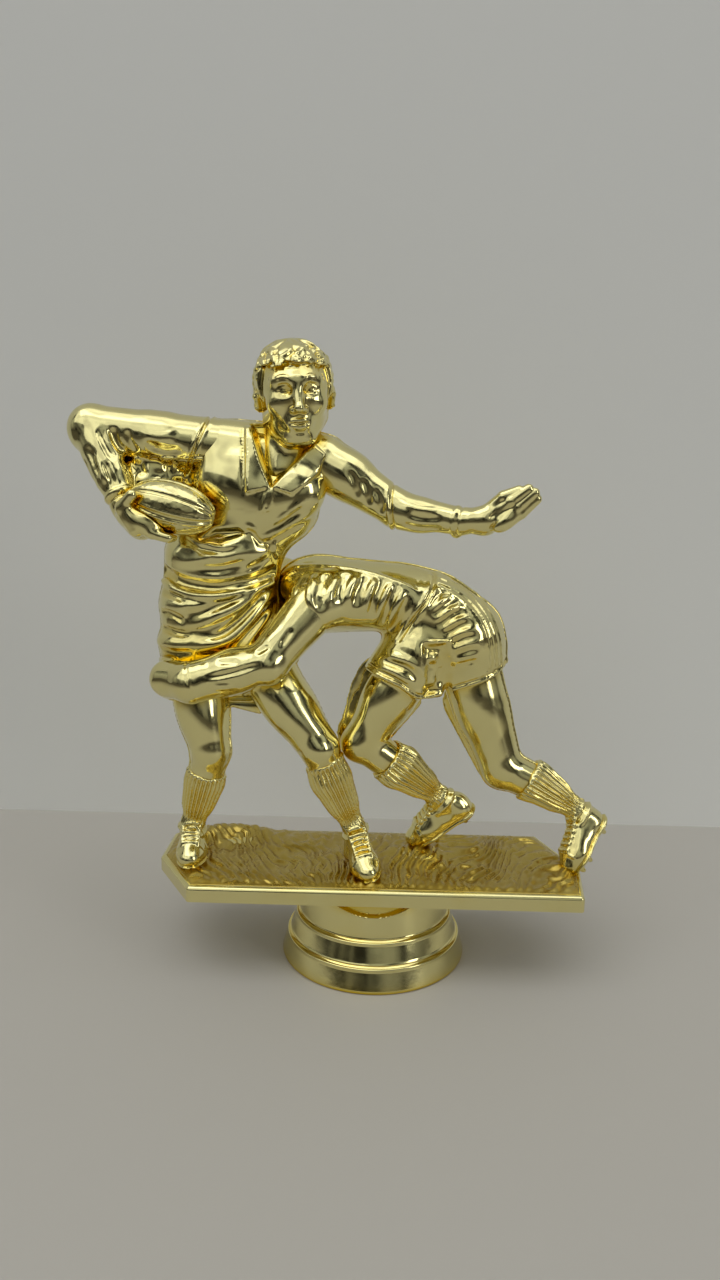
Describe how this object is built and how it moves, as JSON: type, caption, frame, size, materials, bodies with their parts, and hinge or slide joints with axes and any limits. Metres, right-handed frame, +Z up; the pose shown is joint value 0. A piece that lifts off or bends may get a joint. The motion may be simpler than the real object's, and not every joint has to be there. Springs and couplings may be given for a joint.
{
  "type": "rugby tackle trophy topper",
  "caption": "Gold-plated plastic trophy topper of a rugby ball carrier tackled round the hips, on a turf plate that turns on a stepped round collar.",
  "frame": {"origin": "centre of the collar's bottom face, on the axis that the plate turns about", "axes": "+Z up along the collar's axis; -Y the side that the ball carrier faces; +X towards the carrier's left, where the tackler's feet are"},
  "size_m": [0.112, 0.04, 0.1291],
  "materials": {
    "gold_plating": "vacuum-metallised mirror gold on moulded plastic",
    "zinc_steel": "zinc plated",
    "white_plastic": "unplated moulded plastic"
  },
  "bodies": {
    "collar": {"collar": "gold_plating"},
    "figures": {"turf_plate": "gold_plating", "carrier_head": "gold_plating", "carrier_front_shell": "gold_plating", "carrier_back_shell": "gold_plating", "carrier_ball_arm": "gold_plating", "rugby_ball": "gold_plating", "carrier_fend_arm": "gold_plating", "tackler_head": "gold_plating", "tackler_front_shell": "gold_plating", "tackler_back_shell": "gold_plating", "tackler_near_arm": "gold_plating", "tackler_far_arm": "gold_plating", "hub_nut": "zinc_steel", "nut_retainer": "white_plastic"}
  },
  "joints": [
    {"name": "figure_swivel", "type": "hinge", "parent": "collar", "child": "figures", "pos_m": [0, 0, 0.0174], "axis": [0, 0, 1], "continuous": true}
  ]
}
